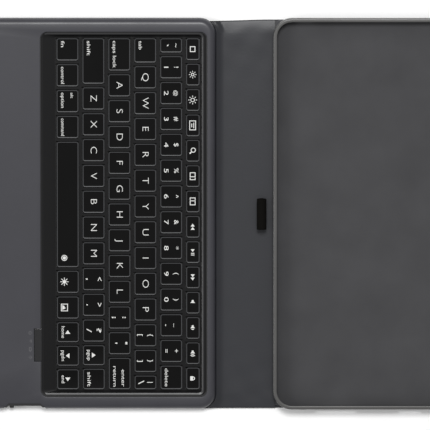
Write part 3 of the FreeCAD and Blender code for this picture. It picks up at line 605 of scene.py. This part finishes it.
def spine_top(x, y, left, right):
    """The upper side of the leather: it comes down from the panel, lies full and thins into the flap."""
    distance = panel_distance(x, y)
    if distance < UNDER_PANEL:
        return skin_high.z - SPINE_TUCK
    inward = min(x - left, right - x)
    share = 1 - min(inward / SPINE_EDGE_RUN, 1.0)
    taper = LEFT_TAPER if x - left < right - x else RIGHT_TAPER
    drop = SPINE_EDGE_DROP * (1 - math.sqrt(1 - share * share))
    drop += taper * (1 - min(inward / SPINE_TAPER_RUN, 1.0)) ** 2
    wave = 0.0
    for strength, along, across in RIPPLE_WAVES:
        wave += strength * math.sin(along * y / MM + across * inward / MM)
    wave *= RIPPLE * math.exp(-inward / RIPPLE_FADE) * smooth(inward, 0.0, SPINE_TAPER_RUN)
    web = WEB_RISE * (1 - min(max(distance, 0.0) / WEB_RUN, 1.0)) ** 2
    web += crease(x, y)
    fullness = smooth(distance, 0.0, SPINE_RISE) * (1 - smooth(y, flap_low.y - SPINE_STEP, flap_low.y))
    height = skin_high.z + (SPINE_THICK - skin_high.z) * fullness
    thin = (SKIN_EDGE - skin_high.z) * share * share
    return height + web + fullness * (wave - drop) + (1 - fullness) * thin


def spine_section(y):
    """A section across the case: the upper side from left to right, then the lower side back."""
    left, right = spine_edges(y)
    top = [(x, y, spine_top(x, y, left, right)) for x in spine_places(y, left, right)]
    tuck = SPINE_TUCK if y < palm_high.y else 0.0
    return top + [(right - SKIN_EDGE, y, tuck), (0.0, y, tuck), (left + SKIN_EDGE, y, tuck)]


def fold_piece(name, places, split, *materials):
    """A stretch of leather lofted through sections across a fold. The second finish starts at the split."""
    maker = Maker()
    sections = [spine_section(y) for y in places]
    for first, second in zip(sections, sections[1:]):
        maker.loft([first, second], 1 if first[0][1] >= split else 0)
    count = len(sections[0])
    maker.add(sections[0], [tuple(range(count))])
    maker.add(sections[-1], [tuple(range(count))], len(materials) - 1)
    piece = maker.piece(name, *materials, edge_ink, smooth_angle=60.0)
    for face in piece.data.polygons:
        # Faces along the leather's outer edges take the painted shade.
        left, right = spine_edges(face.center.y)
        if face.center.x < left + PAINTED_SHADE_EDGE or face.center.x > right - PAINTED_SHADE_EDGE:
            face.material_index = len(materials)
    return piece


half_pitch = (folds[1] - folds[0]) / 2
breaks = [fold + half_pitch for fold in folds]
strip_nodes = [f"spine_strip_{number}" for number in range(1, 6)] + ["spine_edge_strip"]
# Each spine piece takes the leather painted darker as shade.
for number, fold in enumerate(folds):
    if number:
        start = breaks[number - 1]
        places = stations(start, breaks[number], SPINE_STATIONS)
    else:
        start = palm_high.y
        places = stations(start - TONGUE, start - SPINE_TUCK, 2 * SPINE_STATIONS)
        places += stations(start, breaks[0], 2 * SPINE_STATIONS)
    cover = fold_piece(f"spine_leather_{number + 1}", places, math.inf, spine_leather)
    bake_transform(cover)
    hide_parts(strip_nodes[number])

flap_middle = (stand_fold + tray_fold) / 2
places = stations(breaks[-1], flap_low.y - SPINE_STEP, 3 * SPINE_STATIONS)
places += stations(flap_low.y - SPINE_STEP, flap_low.y, 3)[1:] + [flap_low.y + FOLD_HALF, flap_middle]
# Up to the flap the leather carries the painted shade; past it the leather is plain.
stand_cover = fold_piece("stand_fold_leather", places, flap_low.y, spine_leather, leather)
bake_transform(stand_cover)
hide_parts("flap_skin")
places = [flap_middle]
places += stations(tray_fold - FOLD_HALF, tray_fold + FOLD_HALF, SPINE_STATIONS) + [back_front]
tray_cover = fold_piece("tray_fold_leather", places, math.inf, leather)
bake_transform(tray_cover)


# Linings


def lining_sheet(name, node, corner, material, body, hole=None):
    """A sheet glued down flat in the place of its solid, with a soft edge and an optional hole."""
    low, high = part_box(node)
    maker = Maker()
    bend = EDGE_BEND * LINING_EDGE
    steps = ((0.0, low.z), (0.0, high.z - LINING_EDGE), (bend, high.z - bend), (LINING_EDGE, high.z))
    maker.loft([at(rounded(low, high, corner, corner, inset), z) for inset, z in steps])
    loops = [at(rounded(low, high, corner, corner, LINING_EDGE), high.z)]
    if hole:
        maker.loft([at(hole(inset), z) for inset, z in steps])
        loops.append(at(hole(LINING_EDGE), high.z))
    maker.fill(loops)
    piece = maker.piece(name, material)
    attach(piece, body)
    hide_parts(node)
    return piece


lining_corner = TRAY_CORNER - (lining_low.x - tray_low.x)
tray_sheet = lining_sheet("tray_microfibre", "tray_lining", lining_corner, microfibre, "tablet_tray",
                          camera_hole)
flap_sheet = lining_sheet("flap_inner_lining", "flap_lining", SKIN_EDGE, lining, "back_flap")


# Pen loop

loop_low, loop_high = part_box("pen_loop")


def loop_section(inset, x):
    """The teardrop section of the band: two sides from a narrow foot, and a round top."""
    radius = (loop_high.y - loop_low.y) / 2
    middle = (loop_low.y + loop_high.y) / 2
    centre = loop_high.z - radius
    foot = LOOP_FOOT / 2
    sag = LOOP_SAG * (1 - (2 * x / (loop_high.x - loop_low.x)) ** 2)
    half = max(foot - inset, LOOP_NARROW * foot)
    outline = [(middle - half, loop_low.z + inset), (middle + half, loop_low.z + inset)]
    lean = math.atan2(radius - foot, centre - loop_low.z) / (math.pi / 2)
    outline += arc((middle, centre), radius - inset, -lean, 2 + lean, 3 * CORNER_STEPS)
    return [(x, y, z - sag * smooth(z, centre, loop_high.z)) for y, z in outline]


maker = Maker()
loop_places = stations(loop_low.x + LOOP_EDGE, loop_high.x - LOOP_EDGE, 2 * EDGE_STEPS)
outer = [loop_section(LOOP_EDGE, loop_low.x)]
outer += [loop_section(0.0, x) for x in loop_places]
outer.append(loop_section(LOOP_EDGE, loop_high.x))
inner = [loop_section(LOOP_BAND - LOOP_EDGE, loop_low.x)]
inner += [loop_section(LOOP_BAND, x) for x in loop_places]
inner.append(loop_section(LOOP_BAND - LOOP_EDGE, loop_high.x))
maker.loft(outer)
maker.loft(inner)
maker.loft([outer[0], inner[0]])
maker.loft([outer[-1], inner[-1]])
loop = maker.piece("elastic_pen_loop", elastic, smooth_angle=60.0)
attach(loop, "spine_edge")
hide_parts("pen_loop")


# Lip on the rim of the keyboard deck, which slopes in towards the keys. Each ring has its corner radius,
# then its inset from the deck's edge and its rise over the rim at front, sides and rear, in millimetres.

LIP = (
    (3.9, (-0.1, -0.5), (-0.6, -0.5), (-0.1, -0.5)),
    (3.9, (-0.1, 0.1), (-0.6, 0.27), (-0.1, 0.05)),
    (3.8, (0.0, 0.13), (-0.5, 0.34), (0.1, 0.1)),
    (3.4, (0.5, 0.13), (-0.45, 0.34), (1.4, 0.15)),
    (2.4, (1.2, 0.02), (0.75, 0.08), (2.6, -0.5)),
    (2.4, (1.25, -0.5), (0.8, -0.5), (2.65, -1.75)),
    (3.9, (-0.1, -0.5), (-0.6, -0.5), (-0.1, -0.5)),
)
LIP_SLOPE = 3
LIP_DARK = 2.0 * MM


def lip_ring(corner, front, side, rear):
    """One ring of the lip, which rises or falls smoothly round its corners."""
    low = deck_low + Vector((side[0], front[0], 0)) * MM
    high = deck_high - Vector((side[0], rear[0], 0)) * MM
    rises = []
    for first, last in ((side, front), (front, side), (side, rear), (rear, side)):
        for step in range(CORNER_STEPS + 1):
            rises.append(first[1] + (last[1] - first[1]) * smooth(step, 0, CORNER_STEPS))
    outline = rounded(low, high, corner * MM, corner * MM)
    return [(x, y, deck_high.z + rise * MM) for (x, y), rise in zip(outline, rises)]


maker = Maker()
lip_rings = [lip_ring(*ring) for ring in LIP]
for number, rings in enumerate(zip(lip_rings, lip_rings[1:])):
    maker.loft(rings, 1 if number == LIP_SLOPE else 0)
# The lip's slope takes the deck plastic painted lighter as a highlight; near the front it keeps the plain deck
# plastic.
deck_lip = maker.piece("deck_lip", SLOT_FINISH["deck_plastic"], deck_edge, smooth_angle=30.0)
for face in deck_lip.data.polygons:
    if face.center.y < deck_low.y + LIP_DARK:
        face.material_index = 0
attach(deck_lip, "keyboard_panel")


# Keys


def key_boxes(node):
    """The lowest and highest corners of each key of a row, from left to right."""
    mesh = nodes[node].data
    faces = sorted((min(mesh.vertices[corner].co.x for corner in face.vertices),
                    max(mesh.vertices[corner].co.x for corner in face.vertices)) for face in mesh.polygons)
    spans = [list(faces[0])]
    for start, end in faces:
        if start > spans[-1][1] + KEY_GAP:
            spans.append([start, end])
        spans[-1][1] = max(spans[-1][1], end)
    low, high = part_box(node)
    return [(Vector((start, low.y, low.z)), Vector((end, high.y, high.z))) for start, end in spans]


def key_cap(maker, low, high):
    """A hollow tapered cap with rounded corners and a dished top inside an edge band painted lighter as a
    highlight.
    """
    top_low = low + Vector((KEY_DRAFT, KEY_TRIM, 0))
    top_high = high - Vector((KEY_DRAFT, KEY_DRAFT, 0))
    foot = at(rounded(low, high, KEY_CORNER, KEY_CORNER), low.z)
    shoulder = at(rounded(top_low, top_high, KEY_CORNER, KEY_CORNER), high.z)
    top = at(rounded(top_low, top_high, KEY_CORNER, KEY_CORNER, KEY_EDGE), high.z - KEY_DISH)
    maker.loft([foot, shoulder])
    # The band round the top takes the painted highlight.
    maker.loft([shoulder, top], 1)
    maker.fill([top])
    hollow = rounded(low, high, KEY_CORNER, KEY_CORNER, KEY_WALL)
    ceiling = at(hollow, high.z - KEY_ROOF)
    maker.loft([ceiling, at(hollow, low.z), foot])
    maker.fill([ceiling], upward=False)


# Legends, in millimetres from the middle of a key

LETTERS = 4.0
LETTER_RISE = 0.3
SIGNS = 2.7
WORDS = 2.1
SMALL_WORDS = 1.7
ARROWS = 1.6
SIGN_LOW = -4.4
SIGN_HIGH = 2.1
WORD_LOW = -4.0
SECOND_LINE = 1.4
ICON_LOW = -2.1
WORD_MARGIN = 1.7
SPACE_MARK_MARGIN = 5.9
LINE = 0.5
RAY = 0.45
RAYS = 8
HANDLE = 0.8
POINTER_TIP = 0.8
POINTER_BACK = 0.7
POINTER_HALF = 1.05
LETTER_STRETCH = 1.22
DIGIT_STRETCH = 1.65
LETTER_WEIGHT = -0.015
SIGN_WEIGHT = 0.002
DOT_WEIGHT = 0.035
DOTS = ";:'\".,`"
WORD_WEIGHT = 0.002
LEGEND_TOP = 0.02 * MM
LEGEND_ROOT = -0.02 * MM
LETTER_CURVE_STEPS = 5


def lettering(text, weight=LETTER_WEIGHT):
    """Points and faces of a solid text in the built-in font."""
    curve = bpy.data.curves.new("lettering", "FONT")
    curve.body = text
    curve.extrude = 1.0
    curve.resolution_u = LETTER_CURVE_STEPS
    curve.offset = weight
    holder = bpy.data.objects.new("lettering", curve)
    mesh = bpy.data.meshes.new_from_object(holder)
    points = [vertex.co.copy() for vertex in mesh.vertices]
    faces = [tuple(face.vertices) for face in mesh.polygons]
    bpy.data.objects.remove(holder)
    bpy.data.curves.remove(curve)
    bpy.data.meshes.remove(mesh)
    return points, faces


capital = max(point.y for point in lettering("H")[0])


def write(maker, text, height, x, y, z, side=0, width=None):
    """Place a text by its left end, middle or right end, for a side of -1, 0 or 1.

    The height is that of capitals, and a width is the whole text's, both in millimetres.
    """
    weight = WORD_WEIGHT if width else LETTER_WEIGHT if text.isalpha() else SIGN_WEIGHT
    points, faces = lettering(text, DOT_WEIGHT if text in DOTS else weight)
    scale = height * MM / capital
    left = min(point.x for point in points)
    right = max(point.x for point in points)
    anchor = (left + right) / 2 + side * (right - left) / 2
    stretch = DIGIT_STRETCH if text.isdigit() else LETTER_STRETCH
    spread_out = width * MM / (right - left) if width else stretch * scale
    maker.add([(x + (point.x - anchor) * spread_out, y + point.y * scale,
                z + (LEGEND_TOP if point.z > 0 else LEGEND_ROOT)) for point in points], faces)


def draw(maker, shapes, x, y, z):
    """Place solid shapes, given in millimetres by an outline or by the two outlines of a ring."""
    for shape in shapes:
        rings = shape if isinstance(shape, tuple) else (shape,)
        low, high = ([[(x + across * MM, y + up * MM, z + level) for across, up in ring] for ring in rings]
                     for level in (LEGEND_ROOT, LEGEND_TOP))
        if isinstance(shape, tuple):
            maker.loft([low[0], high[0], high[1], low[1], low[0]])
        else:
            maker.loft([low[0], high[0]])
            for face in (low[0], high[0]):
                maker.add(face, [tuple(range(len(face)))])


def line(points, width=LINE):
    """A stroke along a path with mitred corners. A path that comes back to its start makes a ring."""
    closed = points[0] == points[-1]
    path = points[:-1] if closed else points
    sides = ([], [])
    for place, (x, y) in enumerate(path):
        before = path[place - 1] if place or closed else None
        after = path[(place + 1) % len(path)] if place + 1 < len(path) or closed else None
        ways = []
        for start, end in ((before, (x, y)), ((x, y), after)):
            if start and end:
                length = math.hypot(end[0] - start[0], end[1] - start[1])
                ways.append(((start[1] - end[1]) / length, (end[0] - start[0]) / length))
        across = Vector(ways[0]) + Vector(ways[-1])
        across *= width / across.length_squared
        sides[0].append((x + across.x, y + across.y))
        sides[1].append((x - across.x, y - across.y))
    return [sides] if closed else [sides[0] + sides[1][::-1]]


def frame_lines(width, height, x=0.0, y=0.0, stroke=LINE):
    left, right, low, high = x - width / 2, x + width / 2, y - height / 2, y + height / 2
    return line([(left, low), (right, low), (right, high), (left, high), (left, low)], stroke)


def round_lines(x, y, radius, first=0.0, last=FULL_TURN, stroke=LINE):
    path = list(arc((x, y), radius, first, last, 2 * CORNER_STEPS))
    if last - first == FULL_TURN:
        path[-1] = path[0]
    return line(path, stroke)


def disc(radius):
    return circle((0, 0), radius, CORNER_STEPS)


def sun(middle, near, far):
    """A disc or a ring with rays round it."""
    outlines = list(middle)
    for step in range(RAYS):
        angle = step * 2 * math.pi / RAYS
        across, up = math.cos(angle), math.sin(angle)
        outlines += line([(near * across, near * up), (far * across, far * up)], RAY)
    return outlines


def pointer(size, turn, x=0.0):
    """A triangle that points along a number of quarter turns."""
    back, half = -POINTER_BACK * size, POINTER_HALF * size
    cosine, sine = math.cos(turn * math.pi / 2), math.sin(turn * math.pi / 2)
    return [[(x + along * cosine - aside * sine, along * sine + aside * cosine)
             for along, aside in ((POINTER_TIP * size, 0.0), (back, half), (back, -half))]]


SPEAKER = [[(-1.7, -0.6), (-0.9, -0.6), (0.2, -1.5), (0.2, 1.5), (-0.9, 0.6), (-1.7, 0.6)]]
NEAR_WAVE = round_lines(-0.1, 0, 1.1, -0.5, 0.5)
FAR_WAVE = round_lines(-0.1, 0, 2.0, -0.5, 0.5)
FUNCTION_ICONS = [
    frame_lines(3.2, 3.0),
    sun(round_lines(0, 0, 0.9, stroke=RAY), 1.7, 2.4),
    sun(round_lines(0, 0, 1.2, stroke=RAY), 2.0, 2.8),
    frame_lines(5.8, 3.8) + line([(-1.8, 0.7), (1.8, 0.7)]) + line([(-1.2, -0.6), (1.2, -0.6)]),
    round_lines(-0.4, 0.4, 1.4) + line([(0.7, -0.7), (1.9, -1.9)], HANDLE),
    frame_lines(2.6, 3.2, -0.9) + line([(0.9, 1.6), (2.3, 1.6), (2.3, -1.6), (0.9, -1.6)]),
    frame_lines(2.6, 3.2, 0.9) + line([(-0.9, 1.6), (-2.3, 1.6), (-2.3, -1.6), (-0.9, -1.6)]),
    pointer(1.25, 2, -1.0) + pointer(1.25, 2, 1.1),
    pointer(1.2, 0, -1.0) + line([(0.8, -1.1), (0.8, 1.1)]) + line([(1.9, -1.1), (1.9, 1.1)]),
    pointer(1.25, 0, -1.1) + pointer(1.25, 0, 1.0),
    SPEAKER,
    SPEAKER + NEAR_WAVE,
    SPEAKER + NEAR_WAVE + FAR_WAVE,
    [[(-1.4, -1.6), (1.4, -1.6), (1.4, 0.2), (-1.4, 0.2)]] + round_lines(0, 0.2, 1.0, 0.0, 2.0),
]
BACKLIGHT = sun([disc(1.2)], 1.3, 2.7)
PICTURE = frame_lines(4.4, 4.0) + [[(-1.6, -1.4), (1.6, -1.4), (0.4, 0.9), (-0.4, -0.2), (-0.8, 0.3)]]
SPACE_MARK = round_lines(0, 0, 1.7) + [disc(1.1)]

# Letters, or the lower and upper sign, of each key of a row
SIGN_PAIRS = {
    "number_keys": ("`~", "1!", "2@", "3#", "4$", "5%", "6^", "7&", "8*", "9(", "0)", "-_", "=+"),
    "upper_letter_keys": tuple("QWERTYUIOP") + ("[{", "]}", "\\|"),
    "home_letter_keys": tuple("ASDFGHJKL") + (";:", "'\""),
    "lower_letter_keys": tuple("ZXCVBNM") + (",<", ".>", "/?"),
}

# Height and width of the signs that differ from the others
SIGN_FORMS = {
    "@": (2.1, None),
    "<": (3.6, 2.4),
    ">": (3.6, 2.4),
    "/": (3.1, 2.5),
    "?": (2.8, 2.9),
    "\\": (3.5, 2.4),
}

# Words with their widths; arrows begin with their turn, and words at a key's end have their side
BOTTOM_WORDS = (("fn", 4.0), ("control", 11.0), ("option", 9.8), ("command", 11.2))
ARROW_WORDS = ((2, "home", 7.6), (3, "pgdn", 6.8), (0, "end", 5.0))
UP_WORD = (1, "pgup", 6.8)
ALT_WORD = ("alt", 3.5)
SIDE_WORDS = {
    "tab_key": ("tab", -1, 5.6),
    "caps_lock_key": ("caps lock", -1, 17.4),
    "left_shift_key": ("shift", -1, 9.4),
    "right_shift_key": ("shift", 1, 9.4),
    "enter_key": ("return", 1, 13.2),
    "delete_key": ("delete", 1, 11.8),
}
ENTER_WIDTH = 11.0

# Places in the bottom row
ALT_KEY = 2
FIRST_ICON_KEY = 4
FIRST_ARROW_KEY = 6


def arrow_legend(maker, low, high, turn, word, width):
    """An arrow with a word in front of it."""
    middle = (low + high) / 2
    z = high.z - KEY_DISH
    draw(maker, pointer(ARROWS, turn), middle.x, middle.y, z)
    write(maker, word, WORDS, middle.x, middle.y + WORD_LOW * MM, z, 0, width)


def key_legends(node, boxes):
    """All legends of the keys of one node, in one mesh."""
    maker = Maker()
    z = boxes[0][1].z - KEY_DISH
    middles = [(low + high) / 2 for low, high in boxes]
    for middle, signs in zip(middles, SIGN_PAIRS.get(node, ())):
        if len(signs) == 1:
            write(maker, signs, LETTERS, middle.x, middle.y + (LETTER_RISE - LETTERS / 2) * MM, z)
        else:
            for sign, rise in zip(signs, (SIGN_LOW, SIGN_HIGH)):
                height, width = SIGN_FORMS.get(sign, (SIGNS, None))
                write(maker, sign, height, middle.x, middle.y + rise * MM, z, 0, width)
    if node == "lower_letter_keys":
        arrow_legend(maker, *boxes[-1], *UP_WORD)
    if node == "function_keys":
        for middle, icon in zip(middles, FUNCTION_ICONS):
            draw(maker, icon, middle.x, middle.y, z)
    if node == "bottom_row_keys":
        for (low, high), (word, width) in zip(boxes, BOTTOM_WORDS):
            start = low.x + WORD_MARGIN * MM
            write(maker, word, WORDS, start, (low.y + high.y) / 2 + WORD_LOW * MM, z, -1, width)
        word, width = ALT_WORD
        start = boxes[ALT_KEY][0].x + WORD_MARGIN * MM
        write(maker, word, SMALL_WORDS, start, middles[ALT_KEY].y + SIGN_HIGH * MM, z, -1, width)
        for middle, icon in zip(middles[FIRST_ICON_KEY:], (BACKLIGHT, PICTURE)):
            draw(maker, icon, middle.x, middle.y + ICON_LOW * MM, z)
        for (low, high), arrow in zip(boxes[FIRST_ARROW_KEY:], ARROW_WORDS):
            arrow_legend(maker, low, high, *arrow)
    if node == "space_bar":
        draw(maker, SPACE_MARK, boxes[0][1].x - SPACE_MARK_MARGIN * MM, middles[0].y + ICON_LOW * MM, z)
    if node in SIDE_WORDS:
        word, side, width = SIDE_WORDS[node]
        end = boxes[0][0].x + WORD_MARGIN * MM if side < 0 else boxes[0][1].x - WORD_MARGIN * MM
        write(maker, word, WORDS, end, middles[0].y + WORD_LOW * MM, z, side, width)
    if node == "enter_key":
        write(maker, "enter", WORDS, end, middles[0].y + SECOND_LINE * MM, z, side, ENTER_WIDTH)
    return maker


for subpart in frame["record"]["subparts"]:
    if subpart["material_slot"] != "key_plastic":
        continue
    node = subpart["node"]
    maker = Maker()
    boxes = key_boxes(node)
    for low, high in boxes:
        key_cap(maker, low, high)
    caps = maker.piece(node + "_caps", key_top, key_edge, smooth_angle=20.0)
    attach(caps, node)
    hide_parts(node)
    legends = key_legends(node, boxes).piece(node + "_legends", legend_white)
    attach(legends, node)


# Marks pressed into the palm rest beside the status lights: power, radio, charge and capitals

MARK_LINE = 0.3
MARKS_AHEAD = 2.6 * MM
MARKS = (
    round_lines(0, 0, 0.9, 1.5, 4.5, MARK_LINE) + line([(0, 0.3), (0, 1.2)], MARK_LINE),
    round_lines(0, -0.7, 0.7, 0.5, 1.5, MARK_LINE) + round_lines(0, -0.7, 1.5, 0.5, 1.5, MARK_LINE),
    frame_lines(2.2, 1.2, 0, 0, MARK_LINE) + line([(1.5, -0.2), (1.5, 0.2)], MARK_LINE),
    line([(-0.9, 0), (0, 1.0), (0.9, 0)], MARK_LINE) + line([(-0.5, -0.7), (0.5, -0.7)], MARK_LINE),
)
maker = Maker()
mark_pitch = (status_high.x - status_low.x) / len(MARKS)
for number, mark in enumerate(MARKS):
    draw(maker, mark, status_low.x + (number + 0.5) * mark_pitch, status_low.y - MARKS_AHEAD, palm_high.z)
marks = maker.piece("status_marks", pressed_mark)
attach(marks, "keyboard_panel")


# Camera, floor and light

floor_mesh = Maker()
floor_corners = ((-1, -1), (1, -1), (1, 1), (-1, 1))
floor_mesh.add([(FLOOR_REACH * x, FLOOR_REACH * y, 0) for x, y in floor_corners], [(0, 1, 2, 3)])
floor = floor_mesh.piece("floor", white_floor())
floor.location.z = -FLOOR_GAP

world = bpy.context.scene.world or bpy.data.worlds.new("studio")
bpy.context.scene.world = world
world.use_nodes = True
world.node_tree.nodes["Background"].inputs["Color"].default_value = (1.0, 1.0, 1.0, 1.0)
world.node_tree.nodes["Background"].inputs["Strength"].default_value = DAYLIGHT
for name, (place, size, power) in LAMPS.items():
    light = bpy.data.lights.new(name, "AREA")
    light.energy = power
    light.size = size
    lamp = bpy.data.objects.new(name, light)
    lamp.location = place
    lamp.rotation_euler = (-Vector(place)).to_track_quat("-Z", "Y").to_euler()
    bpy.context.scene.collection.objects.link(lamp)

camera_data = bpy.data.cameras.new("camera")
camera_data.sensor_width = SENSOR_WIDTH
camera_data.lens = SENSOR_WIDTH * CAMERA_DISTANCE * PIXELS_PER_METRE / IMAGE_SIDE
camera = bpy.data.objects.new("camera", camera_data)
camera.location = VIEW_MIDDLE + CAMERA_DISTANCE * Vector((-math.sin(CAMERA_LEAN), 0, math.cos(CAMERA_LEAN)))
camera.rotation_euler = (-CAMERA_LEAN, 0, math.pi / 2)
bpy.context.scene.collection.objects.link(camera)
bpy.context.scene.camera = camera
bpy.context.scene.view_settings.view_transform = "Standard"
